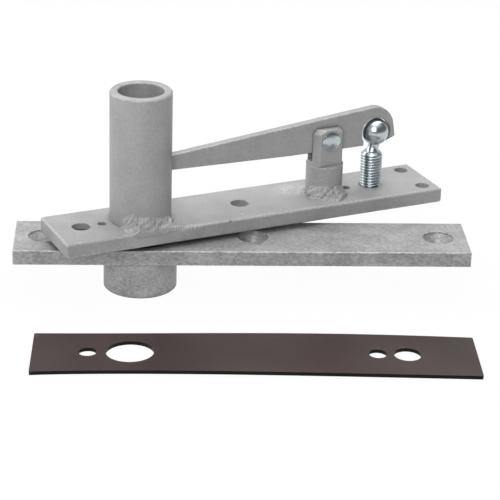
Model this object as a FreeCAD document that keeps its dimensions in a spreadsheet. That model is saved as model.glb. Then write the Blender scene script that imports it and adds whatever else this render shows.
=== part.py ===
"""Lever-retracted pivot hinge: a frame half with pin, lever and adjusting screw, a door half, and a cover.

The origin is on the pivot axis, at the foot of the door half's cup. X runs along the frame plate, Z is up.
"""

import FreeCAD, Part
import os
import Sketcher

doc = FreeCAD.newDocument("pivot_hinge")
sizes = doc.addObject("Spreadsheet::Sheet", "sizes")

# Driving dimensions, in millimetres and degrees
DIMENSIONS = [
    # Plates
    ("plate_width", 31.75, "width of the two steel bars"),
    ("plate_thick", 6.35, "thickness of the two steel bars"),
    ("frame_left", 38.3, "frame plate, pivot axis to its left end"),
    ("frame_right", 134.9, "frame plate, pivot axis to its right end"),
    ("frame_edge", 0.6, "bevel of the frame plate's edges"),
    ("door_left", 52.2, "door plate, pivot axis to its left end"),
    ("door_right", 137.1, "door plate, pivot axis to its right end"),
    ("door_edge", 0.25, "bevel of the door plate's edges"),
    ("plate_gap", 1.9, "gap between the two plates"),
    ("door_angle", 21.98, "angle from the frame plate back to the door plate at rest"),
    # Screw holes of the plates
    ("sink_angle", 82.0, "full angle of every countersink"),
    ("frame_hole_dia", 7.9, "frame plate, single screw holes"),
    ("frame_sink_dia", 14.4, "frame plate, mouth of the single countersinks"),
    ("frame_hole_left", 26.2, "frame plate, pivot axis to the left screw hole"),
    ("frame_hole_right", 45.3, "frame plate, pivot axis to the middle screw hole"),
    ("pair_hole_dia", 6.1, "frame plate, pair of end screw holes"),
    ("pair_sink_dia", 10.8, "frame plate, mouth of the pair's countersinks"),
    ("pair_hole_at", 128.5, "frame plate, pivot axis to the pair"),
    ("pair_spacing", 19.6, "frame plate, distance across the pair"),
    ("tapped_dia", 3.9, "frame plate, tapped holes for the cover"),
    ("tapped_left", 17.0, "frame plate, pivot axis to the left tapped hole"),
    ("tapped_right", 95.9, "frame plate, pivot axis to the right tapped hole"),
    ("door_hole_dia", 6.9, "door plate, screw holes"),
    ("door_sink_dia", 12.9, "door plate, mouth of its countersinks"),
    ("door_sink_land", 0.7, "door plate, straight wall above the countersink"),
    ("door_hole_left", 40.1, "door plate, pivot axis to the left screw hole"),
    ("door_hole_middle", 47.1, "door plate, pivot axis to the middle screw hole"),
    ("door_hole_right", 125.1, "door plate, pivot axis to the right screw hole"),
    # Pivot: housing, pin, bushing and cup
    ("housing_dia", 25.7, "pivot housing, outside"),
    ("housing_bore", 19.05, "pivot housing, bore"),
    ("housing_height", 56.06, "pivot housing, above the frame plate"),
    ("rim_outer", 0.7, "pivot housing, chamfer outside the rim"),
    ("rim_inner", 0.5, "pivot housing, chamfer inside the rim"),
    ("running_gap", 0.05, "radial clearance of turning and sliding fits"),
    ("stub_dia", 15.875, "pivot pin, lower stub"),
    ("pin_reach", 13.8, "pivot pin, reach below the door plate's top face"),
    ("pin_crown", 8.7, "pivot pin, top above the lever pocket's roof at the axis"),
    ("pin_nose", 1.6, "pivot pin, chamfer at its lower end"),
    ("pin_edge", 0.6, "pivot pin, chamfer at its top"),
    ("seat_gap", 0.3, "gap under the pin's shoulder and round the lever's tip"),
    ("bushing_dia", 25.4, "pivot bushing, outside"),
    ("bushing_edge", 0.5, "pivot bushing, chamfer at its upper mouth"),
    ("cup_dia", 30.66, "pivot cup, outside"),
    ("cup_depth", 15.4, "pivot cup, below the door plate"),
    ("cup_floor", 3.0, "pivot cup, floor thickness"),
    ("cup_edge", 0.4, "pivot cup, chamfer at its foot"),
    # Post and fulcrum
    ("fulcrum_at", 85.0, "pivot axis to the fulcrum"),
    ("fulcrum_height", 24.31, "fulcrum above the frame plate"),
    ("post_dia", 15.875, "lever post, base"),
    ("post_ledge", 13.36, "lever post, height of its base"),
    ("post_neck_dia", 14.8, "lever post, above the base"),
    ("post_height", 29.66, "lever post, height"),
    ("post_chamfer", 1.7, "lever post, chamfer round its top"),
    ("post_flats", 11.0, "lever post, across its two flats"),
    ("post_slot_floor", 14.96, "lever post, slot floor above the frame plate"),
    ("fulcrum_dia", 6.35, "fulcrum pin, shank"),
    ("fulcrum_head_dia", 8.5, "fulcrum pin, head"),
    ("fulcrum_head", 1.1, "fulcrum pin, head thickness"),
    ("fulcrum_tail", 1.1, "fulcrum pin, end beyond the ring"),
    ("ring_dia", 11.0, "retaining ring, outside"),
    ("ring_band", 1.3, "retaining ring, width of its band"),
    ("ring_thick", 0.9, "retaining ring, thickness"),
    ("ring_play", 0.05, "retaining ring, play in its groove on each side"),
    ("ring_groove_dia", 5.2, "fulcrum pin, floor of the ring groove"),
    ("ring_mouth", 4.6, "retaining ring, width of its open side"),
    # Lever, from the fulcrum
    ("lever_thick", 3.6, "lever, thickness"),
    ("lever_side_gap", 0.3, "gap between the lever and each slot wall"),
    ("lever_edge", 0.25, "lever, chamfer along its edges"),
    ("lever_tilt", 10.0, "lever, degrees from the lowered to the raised pin"),
    ("tip_round", 2.2, "lever, rounding of its tip"),
    ("tip_half", 2.3, "lever, half the height of its tip"),
    ("tip_drop", 1.55, "lever, tip below the fulcrum"),
    ("belly_drop", 5.35, "lever, lower edge below the fulcrum"),
    ("belly_from", 18.0, "lever, where its lower edge bends, left of the fulcrum"),
    ("mouth_left", 6.1, "lever, left side of the socket's mouth from the ball's centre"),
    ("mouth_right", 4.5, "lever, right side of the socket's mouth from the ball's centre"),
    ("mouth_lift", 0.95, "lever, right lip higher than the left"),
    ("heel_out", 9.0, "lever, lower right corner beyond the ball's centre"),
    ("heel_drop", 2.5, "lever, lower right corner below the fulcrum"),
    ("crown_out", 6.45, "lever, upper right corner before rounding, beyond the ball's centre"),
    ("crown_rise", 12.5, "lever, upper right corner above the fulcrum"),
    ("crown_round", 9.6, "lever, rounding of its upper right corner"),
    ("socket_back", 0.35, "lever, socket centre left of the ball's centre"),
    ("socket_rise", 0.4, "lever, socket centre above the fulcrum"),
    ("socket_dia", 13.7, "lever, socket"),
    # Adjusting screw
    ("screw_reach", 22.85, "fulcrum to the adjusting screw's thread"),
    ("ball_offset", 0.95, "adjusting screw, ball's centre to the right of its thread's axis"),
    ("screw_dia", 9.4, "adjusting screw, over its thread"),
    ("screw_recess", 1.85, "adjusting screw, foot above the frame plate's underside"),
    ("screw_shoulder", 14.86, "adjusting screw, shoulder above the frame plate"),
    ("screw_top_cut", 1.2, "adjusting screw, chamfer at the shoulder"),
    ("screw_foot_cut", 0.8, "adjusting screw, chamfer at the foot"),
    ("neck_dia", 4.85, "adjusting screw, neck under the ball"),
    ("ball_dia", 11.7, "adjusting screw, ball"),
    ("ball_height", 24.26, "adjusting screw, ball centre above the frame plate"),
    ("hex_across", 4.76, "adjusting screw, hexagon socket across flats"),
    ("hex_depth", 5.0, "adjusting screw, depth of its socket"),
    # Welds
    ("weld_sweep", 126.0, "front weld beads, sweep round the tube or post"),
    ("back_weld_sweep", 42.0, "back weld beads, sweep round the tube or post"),
    ("housing_weld_leg", 3.0, "housing weld, leg along the plate"),
    ("housing_weld_rise", 5.76, "housing weld, leg up the housing"),
    ("post_weld_leg", 3.6, "post weld, leg along the plate"),
    ("post_weld_rise", 5.06, "post weld, leg up the post"),
    # Cover
    ("cover_width", 33.9, "cover plate, width"),
    ("cover_thick", 1.5, "cover plate, thickness"),
    ("cover_left", 38.3, "cover plate, pivot hole to its left end"),
    ("cover_right", 136.7, "cover plate, pivot hole to its right end"),
    ("cover_corner", 0.8, "cover plate, rounding of its corners"),
    ("cover_hole_left", 16.5, "cover plate, pivot hole to its left screw hole"),
    ("cover_hole_right", 97.05, "cover plate, pivot hole to its right screw hole"),
    ("cover_pivot_dia", 18.9, "cover plate, hole for the pin"),
    ("cover_screw_dia", 7.3, "cover plate, holes for its two screws"),
    ("cover_access_dia", 10.9, "cover plate, hole under the adjusting screw"),
    ("cover_x", -29.28, "cover plate, pivot hole's place beside the hinge"),
    ("cover_y", -62.35, "cover plate, pivot hole's place in front of the hinge"),
    ("cover_angle", 22.9, "cover plate, turned clockwise where it lies"),
]
for row, (alias, number, meaning) in enumerate(DIMENSIONS, start=1):
    sizes.set(f"A{row}", meaning)
    sizes.set(f"B{row}", str(number))
    sizes.setAlias(f"B{row}", alias)
doc.recompute()

# Levels and places that more than one piece shares
HALF_WIDTH = "sizes.plate_width / 2"
CUP_FLOOR = "sizes.cup_floor"
DOOR_UNDER = "sizes.cup_depth"
DOOR_TOP = f"({DOOR_UNDER} + sizes.plate_thick)"
PLATE_UNDER = f"({DOOR_TOP} + sizes.plate_gap)"
PLATE_TOP = f"({PLATE_UNDER} + sizes.plate_thick)"
FULCRUM_Z = f"({PLATE_TOP} + sizes.fulcrum_height)"
SLOT_HALF = "(sizes.lever_thick / 2 + sizes.lever_side_gap)"
STUB_HOLE = "(sizes.stub_dia / 2 + sizes.running_gap)"
FULCRUM_HOLE = "(sizes.fulcrum_dia / 2 + sizes.running_gap)"
POST_FLAT = "sizes.post_flats / 2"
SCREW_X = "(sizes.fulcrum_at + sizes.screw_reach)"
BALL_X = f"({SCREW_X} + sizes.ball_offset)"
# The lever's right end is measured from the ball's centre
BALL_REACH = "(sizes.screw_reach + sizes.ball_offset)"
CROWN_X = f"({BALL_REACH} + sizes.crown_out)"
MOUTH_LEFT = f"{BALL_REACH} - sizes.mouth_left"
MOUTH_RIGHT = f"{BALL_REACH} + sizes.mouth_right"
# Ends and slopes of the lever's two long edges
TIP_X = "(-sizes.fulcrum_at - sizes.tip_round)"
TIP_TOP = "(sizes.tip_half - sizes.tip_drop)"
TIP_UNDER = "(-sizes.tip_half - sizes.tip_drop)"
TOP_SLOPE = f"((sizes.crown_rise - {TIP_TOP}) / ({CROWN_X} - {TIP_X}))"
BELLY_SLOPE = f"((sizes.belly_drop + {TIP_UNDER}) / (-{TIP_X} - sizes.belly_from))"

# How far two directions or levels may differ and still count as the same
TINY = 1e-6

pieces = []


def value(expression):
    """The number that an expression over the sheet's cells gives."""
    return float(sizes.evalExpression(expression))


def new_body(label, x="0", z="0"):
    """A body with its own name, set off from the pivot axis by two expressions."""
    body = doc.addObject("PartDesign::Body", label)
    body.Label = label
    body.setExpression("Placement.Base.x", x)
    body.setExpression("Placement.Base.z", z)
    pieces.append(body)
    return body


def origin_plane(body, role):
    """One of the body's own three origin planes."""
    for feature in body.Origin.OriginFeatures:
        if feature.Role == role:
            return feature


def new_sketch(body, name, role, lift="0"):
    """An empty sketch on an origin plane, lifted along the plane's normal."""
    sketch = body.newObject("Sketcher::SketchObject", name)
    sketch.AttachmentSupport = [(origin_plane(body, role), "")]
    sketch.MapMode = "FlatFace"
    sketch.setExpression("AttachmentOffset.Base.z", lift)
    return sketch


def tie(sketch, geometry, point, x, y):
    """Holds one point of a sketch at two expressions."""
    for kind, expression in (("DistanceX", x), ("DistanceY", y)):
        rule = Sketcher.Constraint(kind, -1, 1, geometry, point, value(expression))
        number = sketch.addConstraint(rule)
        sketch.setExpression(f"Constraints[{number}]", expression)


def polygon(sketch, corners):
    """Straight lines from corner to corner and back to the first, every corner tied."""
    points = [FreeCAD.Vector(value(x), value(y), 0) for x, y in corners]
    lines = [
        sketch.addGeometry(Part.LineSegment(here, there), False)
        for here, there in zip(points, points[1:] + points[:1])
    ]
    for line, following in zip(lines, lines[1:] + lines[:1]):
        sketch.addConstraint(Sketcher.Constraint("Coincident", line, 2, following, 1))
    for line, (x, y) in zip(lines, corners):
        tie(sketch, line, 1, x, y)


def rectangle(sketch, left, right, low, high):
    """Four lines, parallel to the sketch's axes."""
    polygon(sketch, [(left, low), (right, low), (right, high), (left, high)])


def circle(sketch, x, y, radius):
    """A circle tied by its centre and radius."""
    centre = FreeCAD.Vector(value(x), value(y), 0)
    round_edge = Part.Circle(centre, FreeCAD.Vector(0, 0, 1), value(radius))
    number = sketch.addGeometry(round_edge, False)
    tie(sketch, number, 3, x, y)
    rule = sketch.addConstraint(Sketcher.Constraint("Radius", number, value(radius)))
    sketch.setExpression(f"Constraints[{rule}]", radius)


def pad(body, name, profile, length, side="One side"):
    """Adds a profile's prism, along its normal or half to each side."""
    feature = body.newObject("PartDesign::Pad", name)
    feature.Profile = profile
    feature.SideType = side
    feature.setExpression("Length", length)
    doc.recompute()
    return feature


def pocket(body, name, profile, length=None):
    """Cuts a profile's prism to both sides, by a length in all or right through."""
    before = body.Shape.Volume
    feature = body.newObject("PartDesign::Pocket", name)
    feature.Profile = profile
    feature.SideType = "Symmetric"
    if length is None:
        feature.Type = "ThroughAll"
    else:
        feature.setExpression("Length", length)
    doc.recompute()
    check_cut(body, name, before)
    return feature


def check_cut(body, name, before):
    """Stops the build where a cut has taken nothing away."""
    if not body.Shape.Volume < before:
        raise RuntimeError(f"{body.Label}: {name} cut nothing")


def turned(body, name, corners, role="XZ_Plane", axis="V_Axis"):
    """A turned solid: half its section, revolved all the way round a sketch axis."""
    sketch = new_sketch(body, f"{name}_section", role)
    polygon(sketch, corners)
    feature = body.newObject("PartDesign::Revolution", name)
    feature.Profile = sketch
    feature.ReferenceAxis = (sketch, [axis])
    feature.Angle = 360.0
    doc.recompute()
    return feature


def edges_where(feature, test):
    """The names of a feature's edges that pass a test on the edge."""
    found = [f"Edge{n}" for n, edge in enumerate(feature.Shape.Edges, start=1) if test(edge)]
    if not found:
        raise RuntimeError(f"{feature.Label}: no edge to dress")
    return found


def dress(body, kind, name, base, edges, size):
    """A fillet or a chamfer on named edges of a feature."""
    feature = body.newObject(f"PartDesign::{kind}", name)
    feature.Base = (base, edges)
    feature.setExpression("Radius" if kind == "Fillet" else "Size", size)
    doc.recompute()
    return feature


def outer_edges(feature):
    """Every edge of a plain block."""
    return [f"Edge{n}" for n in range(1, len(feature.Shape.Edges) + 1)]


def runs_along(axis, edge):
    """Whether an edge is straight and parallel to an axis."""
    if edge.Curve.TypeId != "Part::GeomLine":
        return False
    return edge.Curve.Direction.cross(axis).Length < TINY


def drilled(body, name, x, y, corners, low, high):
    """A turned hole: its half section lies beside a vertical axis at x and y."""
    before = body.Shape.Volume
    sketch = new_sketch(body, f"{name}_section", "XZ_Plane", f"-({y})")
    polygon(sketch, [(f"{x} + {radius}", level) for radius, level in corners])
    foot = FreeCAD.Vector(value(x), value(low), 0)
    head = FreeCAD.Vector(value(x), value(high), 0)
    axis = sketch.addGeometry(Part.LineSegment(foot, head), True)
    tie(sketch, axis, 1, x, low)
    tie(sketch, axis, 2, x, high)
    feature = body.newObject("PartDesign::Groove", name)
    feature.Profile = sketch
    feature.ReferenceAxis = (sketch, ["Axis0"])
    feature.Angle = 360.0
    doc.recompute()
    check_cut(body, name, before)
    return feature


def sink_depth(mouth, hole):
    """The depth of a countersink's cone, as an expression."""
    return f"(({mouth} - {hole}) / 2 / tan(sizes.sink_angle / 2))"


# Frame plate: a steel bar, countersunk from below, that is screwed up into the frame's head
frame_plate = new_body("frame_plate")
bar = new_sketch(frame_plate, "frame_bar_outline", "XY_Plane", PLATE_UNDER)
rectangle(bar, "-sizes.frame_left", "sizes.frame_right", f"-{HALF_WIDTH}", HALF_WIDTH)
frame_bar = pad(frame_plate, "frame_bar", bar, "sizes.plate_thick")
dress(frame_plate, "Chamfer", "frame_bar_edges", frame_bar, outer_edges(frame_bar), "sizes.frame_edge")
holes = new_sketch(frame_plate, "frame_round_holes", "XY_Plane")
circle(holes, "0", "0", STUB_HOLE)
circle(holes, SCREW_X, "0", "sizes.screw_dia / 2 + sizes.running_gap")
circle(holes, "-sizes.tapped_left", "0", "sizes.tapped_dia / 2")
circle(holes, "sizes.tapped_right", "0", "sizes.tapped_dia / 2")
pocket(frame_plate, "frame_holes", holes)
ABOVE_PLATE = f"{PLATE_TOP} + sizes.frame_edge"
FRAME_SCREWS = [
    ("left_screw_hole", "-sizes.frame_hole_left", "0", "frame_hole_dia", "frame_sink_dia"),
    ("middle_screw_hole", "sizes.frame_hole_right", "0", "frame_hole_dia", "frame_sink_dia"),
    ("front_pair_hole", "sizes.pair_hole_at", "-sizes.pair_spacing / 2", "pair_hole_dia", "pair_sink_dia"),
    ("back_pair_hole", "sizes.pair_hole_at", "sizes.pair_spacing / 2", "pair_hole_dia", "pair_sink_dia"),
]
for name, x, y, hole, mouth in FRAME_SCREWS:
    hole, mouth = f"sizes.{hole}", f"sizes.{mouth}"
    section = [
        ("0", PLATE_UNDER),
        (f"{mouth} / 2", PLATE_UNDER),
        (f"{hole} / 2", f"{PLATE_UNDER} + {sink_depth(mouth, hole)}"),
        (f"{hole} / 2", ABOVE_PLATE),
        ("0", ABOVE_PLATE),
    ]
    drilled(frame_plate, name, x, y, section, PLATE_UNDER, ABOVE_PLATE)

# Pivot housing: a tube that stands on the frame plate, with a slot where the lever enters
pivot_housing = new_body("pivot_housing")
HOUSING_TOP = f"{PLATE_TOP} + sizes.housing_height"
turned(pivot_housing, "housing_tube", [
    ("sizes.housing_bore / 2", PLATE_TOP),
    ("sizes.housing_dia / 2", PLATE_TOP),
    ("sizes.housing_dia / 2", f"{HOUSING_TOP} - sizes.rim_outer"),
    ("sizes.housing_dia / 2 - sizes.rim_outer", HOUSING_TOP),
    ("sizes.housing_bore / 2 + sizes.rim_inner", HOUSING_TOP),
    ("sizes.housing_bore / 2", f"{HOUSING_TOP} - sizes.rim_inner"),
])
# The slot reaches the lever's lower edge with the pin down and its upper edge with the pin raised
slot = new_sketch(pivot_housing, "lever_slot_outline", "XZ_Plane")
INNER_ARM = "(sizes.fulcrum_at - sizes.housing_bore / 2)"
SLOT_LOW = f"{FULCRUM_Z} - sizes.belly_drop - 2 * sizes.seat_gap"
TOP_AT_ARM = f"(sizes.crown_rise - {TOP_SLOPE} * ({CROWN_X} + {INNER_ARM}))"
RAISED = f"({TOP_AT_ARM} * cos(sizes.lever_tilt) + {INNER_ARM} * sin(sizes.lever_tilt))"
SLOT_HIGH = f"{FULCRUM_Z} + {RAISED} + 2 * sizes.seat_gap"
rectangle(slot, "0", "sizes.housing_dia", SLOT_LOW, SLOT_HIGH)
pocket(pivot_housing, "lever_slot", slot, f"2 * {SLOT_HALF}")


def weld_beads(label, x, radius, leg, rise):
    """Two fillet welds at the foot of a round piece on the frame plate, a long one in front of it."""
    body = new_body(label, x)
    for side, sign, sweep in (("front", "-", "weld_sweep"), ("back", "", "back_weld_sweep")):
        sketch = new_sketch(body, f"{label}_{side}_section", "YZ_Plane")
        polygon(sketch, [
            (f"{sign}{radius}", PLATE_TOP),
            (f"{sign}({radius} + {leg})", PLATE_TOP),
            (f"{sign}({radius} + 0.8 * {leg})", f"{PLATE_TOP} + 0.6 * {rise}"),
            (f"{sign}{radius}", f"{PLATE_TOP} + {rise}"),
        ])
        bead = body.newObject("PartDesign::Revolution", f"{label}_{side}")
        bead.Profile = sketch
        bead.ReferenceAxis = (sketch, ["V_Axis"])
        bead.Midplane = True
        bead.setExpression("Angle", f"sizes.{sweep}")
        doc.recompute()
    return body


housing_weld = weld_beads(
    "housing_weld", "0", "sizes.housing_dia / 2", "sizes.housing_weld_leg", "sizes.housing_weld_rise"
)

# Lever post: a turned stud, slotted for the lever and flatted on the two sides that take the pin
lever_post = new_body("lever_post", "sizes.fulcrum_at")
POST_TOP = f"{PLATE_TOP} + sizes.post_height"
POST_LEDGE = f"{PLATE_TOP} + sizes.post_ledge"
turned(lever_post, "post_blank", [
    ("0", PLATE_TOP),
    ("sizes.post_dia / 2", PLATE_TOP),
    ("sizes.post_dia / 2", POST_LEDGE),
    ("sizes.post_neck_dia / 2", POST_LEDGE),
    ("sizes.post_neck_dia / 2", f"{POST_TOP} - sizes.post_chamfer"),
    ("sizes.post_neck_dia / 2 - sizes.post_chamfer", POST_TOP),
    ("0", POST_TOP),
])
cuts = new_sketch(lever_post, "post_milling_outline", "YZ_Plane")
ABOVE_POST = f"{POST_TOP} + sizes.post_chamfer"
rectangle(cuts, f"-{SLOT_HALF}", SLOT_HALF, f"{PLATE_TOP} + sizes.post_slot_floor", ABOVE_POST)
rectangle(cuts, POST_FLAT, "sizes.post_dia", POST_LEDGE, ABOVE_POST)
rectangle(cuts, "-sizes.post_dia", f"-{POST_FLAT}", POST_LEDGE, ABOVE_POST)
pocket(lever_post, "post_milling", cuts)
cross = new_sketch(lever_post, "post_cross_hole_outline", "XZ_Plane")
circle(cross, "0", FULCRUM_Z, FULCRUM_HOLE)
pocket(lever_post, "post_cross_hole", cross)
post_weld = weld_beads(
    "post_weld", "sizes.fulcrum_at", "sizes.post_dia / 2", "sizes.post_weld_leg", "sizes.post_weld_rise"
)

# Fulcrum pin: headed at the front, grooved for its ring behind the rear flat
fulcrum_pin = new_body("fulcrum_pin", "sizes.fulcrum_at", FULCRUM_Z)
SHANK = "sizes.fulcrum_dia / 2"
HEAD = "sizes.fulcrum_head_dia / 2"
HEAD_FACE = f"-{POST_FLAT} - sizes.fulcrum_head"
GROOVE_END = f"{POST_FLAT} + sizes.ring_thick + 2 * sizes.ring_play"
TAIL_END = f"{GROOVE_END} + sizes.fulcrum_tail"
HEAD_EDGE = "sizes.fulcrum_head / 4"
TAIL_EDGE = "sizes.fulcrum_tail / 2"
turned(fulcrum_pin, "fulcrum_pin_turning", [
    (HEAD_FACE, "0"),
    (HEAD_FACE, f"{HEAD} - {HEAD_EDGE}"),
    (f"{HEAD_FACE} + {HEAD_EDGE}", HEAD),
    (f"-{POST_FLAT}", HEAD),
    (f"-{POST_FLAT}", SHANK),
    (POST_FLAT, SHANK),
    (POST_FLAT, "sizes.ring_groove_dia / 2"),
    (GROOVE_END, "sizes.ring_groove_dia / 2"),
    (GROOVE_END, SHANK),
    (f"{TAIL_END} - {TAIL_EDGE}", SHANK),
    (TAIL_END, f"{SHANK} - {TAIL_EDGE}"),
    (TAIL_END, "0"),
], role="YZ_Plane", axis="H_Axis")

# Retaining ring: a flat spring clip with three inner lugs, pushed on from below
fulcrum_ring = new_body("fulcrum_ring", "sizes.fulcrum_at", FULCRUM_Z)
RING_MIDDLE = f"-({POST_FLAT} + sizes.ring_play + sizes.ring_thick / 2)"
BAND_INNER = "(sizes.ring_dia / 2 - sizes.ring_band)"
band = new_sketch(fulcrum_ring, "ring_band_outline", "XZ_Plane", RING_MIDDLE)
circle(band, "0", "0", "sizes.ring_dia / 2")
circle(band, "0", "0", BAND_INNER)
pad(fulcrum_ring, "ring_band", band, "sizes.ring_thick", "Symmetric")
lugs = new_sketch(fulcrum_ring, "ring_lugs_outline", "XZ_Plane", RING_MIDDLE)
LUG_HALF = "sizes.ring_band / 2"
LUG_OUTER = f"({BAND_INNER} + sizes.ring_band / 2)"
GRIP = "sizes.ring_groove_dia / 2"
rectangle(lugs, f"-{LUG_HALF}", LUG_HALF, GRIP, LUG_OUTER)
rectangle(lugs, GRIP, LUG_OUTER, f"-{LUG_HALF}", LUG_HALF)
rectangle(lugs, f"-{LUG_OUTER}", f"-{GRIP}", f"-{LUG_HALF}", LUG_HALF)
pad(fulcrum_ring, "ring_lugs", lugs, "sizes.ring_thick", "Symmetric")
mouth = new_sketch(fulcrum_ring, "ring_mouth_outline", "XZ_Plane", RING_MIDDLE)
rectangle(mouth, "-sizes.ring_mouth / 2", "sizes.ring_mouth / 2", "-sizes.ring_dia", f"-{LUG_HALF}")
pocket(fulcrum_ring, "ring_mouth", mouth)

# Lever: flat bar, thin at the tip in the pin and deep at the socket that holds the screw's ball
lever = new_body("lever", "sizes.fulcrum_at", FULCRUM_Z)
flank = new_sketch(lever, "lever_outline", "XZ_Plane")
polygon(flank, [
    (TIP_X, TIP_UNDER),
    ("-sizes.belly_from", "-sizes.belly_drop"),
    (MOUTH_LEFT, "-sizes.belly_drop"),
    (MOUTH_RIGHT, "-sizes.belly_drop + sizes.mouth_lift"),
    (f"{BALL_REACH} + sizes.heel_out", "-sizes.heel_drop"),
    (CROWN_X, "sizes.crown_rise"),
    (TIP_X, TIP_TOP),
])
lever_blank = pad(lever, "lever_blank", flank, "sizes.lever_thick", "Symmetric")
ACROSS = FreeCAD.Vector(0, 1, 0)
tip_corners = edges_where(
    lever_blank, lambda edge: runs_along(ACROSS, edge) and edge.CenterOfMass.x < 0.99 * value(TIP_X)
)
tipped = dress(lever, "Fillet", "lever_tip", lever_blank, tip_corners, "sizes.tip_round")
crown_corner = edges_where(
    tipped, lambda edge: runs_along(ACROSS, edge) and edge.CenterOfMass.z > 0.99 * value("sizes.crown_rise")
)
dress(lever, "Fillet", "lever_crown", tipped, crown_corner, "sizes.crown_round")
socket = new_sketch(lever, "lever_socket_outline", "XZ_Plane")
circle(socket, f"{BALL_REACH} - sizes.socket_back", "sizes.socket_rise", "sizes.socket_dia / 2")
pocket(lever, "lever_socket", socket)
gate = new_sketch(lever, "lever_mouth_outline", "XZ_Plane")
rectangle(gate, MOUTH_LEFT, MOUTH_RIGHT, "-2 * sizes.belly_drop", "sizes.socket_rise")
opened = pocket(lever, "lever_mouth", gate)
FACE_Y = value("sizes.lever_thick / 2")
rims = edges_where(opened, lambda edge: abs(abs(edge.CenterOfMass.y) - FACE_Y) < TINY)
dress(lever, "Chamfer", "lever_edges", opened, rims, "sizes.lever_edge")
bore = new_sketch(lever, "lever_bore_outline", "XZ_Plane")
circle(bore, "0", "0", FULCRUM_HOLE)
pocket(lever, "lever_bore", bore)

# Adjusting screw: its thread's envelope, a neck and a ball on top, and a hexagon socket in its foot
adjusting_screw = new_body("adjusting_screw", SCREW_X)
SCREW = "sizes.screw_dia / 2"
SCREW_FOOT = f"{PLATE_UNDER} + sizes.screw_recess"
SHOULDER = f"{PLATE_TOP} + sizes.screw_shoulder"
BALL_Z = f"{PLATE_TOP} + sizes.ball_height"
turned(adjusting_screw, "screw_turning", [
    ("0", SCREW_FOOT),
    (f"{SCREW} - sizes.screw_foot_cut", SCREW_FOOT),
    (SCREW, f"{SCREW_FOOT} + sizes.screw_foot_cut"),
    (SCREW, f"{SHOULDER} - sizes.screw_top_cut"),
    (f"{SCREW} - sizes.screw_top_cut", SHOULDER),
    ("sizes.neck_dia / 2", SHOULDER),
    ("sizes.neck_dia / 2", BALL_Z),
    ("0", BALL_Z),
])
ball = adjusting_screw.newObject("PartDesign::AdditiveSphere", "screw_ball")
ball.AttachmentSupport = [(origin_plane(adjusting_screw, "XY_Plane"), "")]
ball.MapMode = "FlatFace"
ball.setExpression("AttachmentOffset.Base.x", "sizes.ball_offset")
ball.setExpression("AttachmentOffset.Base.z", BALL_Z)
ball.setExpression("Radius", "sizes.ball_dia / 2")
doc.recompute()
hexagon = new_sketch(adjusting_screw, "screw_hexagon_outline", "XY_Plane", SCREW_FOOT)
HEX_CORNER = "(sizes.hex_across / 2 / cos(30))"
polygon(hexagon, [
    (f"{HEX_CORNER} * cos({60 * k})", f"{HEX_CORNER} * sin({60 * k})") for k in range(6)
])
pocket(adjusting_screw, "screw_hexagon", hexagon, "2 * sizes.hex_depth")

# Pivot pin: slides in the housing, runs in the bushing, and has a pocket for the lever's tip
pivot_pin = new_body("pivot_pin")
BODY_R = "(sizes.housing_bore / 2 - sizes.running_gap)"
STUB_R = "sizes.stub_dia / 2"
PIN_FOOT = f"{DOOR_TOP} - sizes.pin_reach"
PIN_SHOULDER = f"{PLATE_TOP} + sizes.seat_gap"
TIP_Z = f"({FULCRUM_Z} - sizes.tip_drop)"
POCKET_ROOF = f"({TIP_Z} + sizes.tip_half + sizes.seat_gap)"
POCKET_FLOOR = f"({TIP_Z} - sizes.tip_half - sizes.seat_gap)"
PIN_TOP = f"({POCKET_ROOF} + sizes.pin_crown)"
turned(pivot_pin, "pin_turning", [
    ("0", PIN_FOOT),
    (f"{STUB_R} - sizes.pin_nose", PIN_FOOT),
    (STUB_R, f"{PIN_FOOT} + sizes.pin_nose"),
    (STUB_R, PIN_SHOULDER),
    (BODY_R, PIN_SHOULDER),
    (BODY_R, f"{PIN_TOP} - sizes.pin_edge"),
    (f"{BODY_R} - sizes.pin_edge", PIN_TOP),
    ("0", PIN_TOP),
])
# The pocket widens outwards by as much as the lever leans at either end of its tilt
pocket_side = new_sketch(pivot_pin, "pin_pocket_outline", "XZ_Plane")
POCKET_OUT = "sizes.housing_bore / 2"
POCKET_IN = "(-sizes.tip_round - sizes.seat_gap)"
ROOF_RISE = f"{TOP_SLOPE} * ({POCKET_OUT} - {POCKET_IN})"
FLOOR_FALL = f"({BELLY_SLOPE} + tan(sizes.lever_tilt)) * {POCKET_OUT}"
polygon(pocket_side, [
    (POCKET_IN, POCKET_FLOOR),
    ("0", POCKET_FLOOR),
    (POCKET_OUT, f"{POCKET_FLOOR} - {FLOOR_FALL}"),
    (POCKET_OUT, f"{POCKET_ROOF} + {ROOF_RISE}"),
    (POCKET_IN, POCKET_ROOF),
])
pocket(pivot_pin, "pin_pocket", pocket_side, f"2 * {SLOT_HALF}")


def door_body(label):
    """A body of the door half, turned back from the frame plate by the rest angle."""
    body = new_body(label)
    body.setExpression("Placement.Rotation.Angle", "-sizes.door_angle")
    return body


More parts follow.
